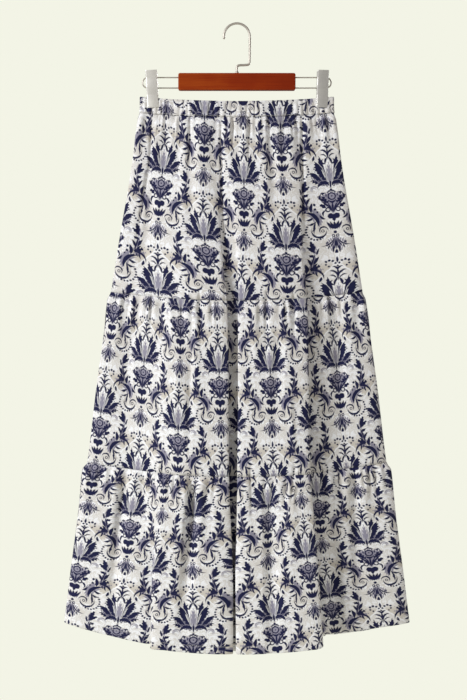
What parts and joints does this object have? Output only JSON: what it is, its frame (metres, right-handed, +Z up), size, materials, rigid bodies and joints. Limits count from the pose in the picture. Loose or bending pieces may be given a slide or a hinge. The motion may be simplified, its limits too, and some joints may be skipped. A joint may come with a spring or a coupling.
{
  "type": "maxi skirt on clip hanger",
  "caption": "Long three-tiered gathered skirt with an elastic waist, hung by two metal clips on a wooden bar hanger with a wire hook.",
  "frame": {"origin": "underside of the top of the hook, where it hangs on a rod or a wall hook", "axes": "+Z up, the front of the skirt faces -Y, +X to the right as seen from the front"},
  "size_m": [0.5652, 0.1176, 1.0188],
  "materials": {
    "printed_cloth": "matte woven, navy damask print on warm white",
    "stained_wood": "satin reddish stain",
    "satin_nickel": "satin nickel",
    "clip_steel": "brushed"
  },
  "bodies": {
    "root": {"waistband_front": "printed_cloth", "waistband_back": "printed_cloth", "tier1_front": "printed_cloth", "tier1_back": "printed_cloth", "tier2_front": "printed_cloth", "tier2_back": "printed_cloth", "tier3_front": "printed_cloth", "tier3_back": "printed_cloth", "hanger_bar": "stained_wood", "hook": "satin_nickel", "rail_left": "satin_nickel", "rail_right": "satin_nickel", "clip_left_front": "clip_steel", "clip_left_back": "clip_steel", "clip_left_spring": "clip_steel", "clip_right_front": "clip_steel", "clip_right_back": "clip_steel", "clip_right_spring": "clip_steel"}
  },
  "joints": []
}
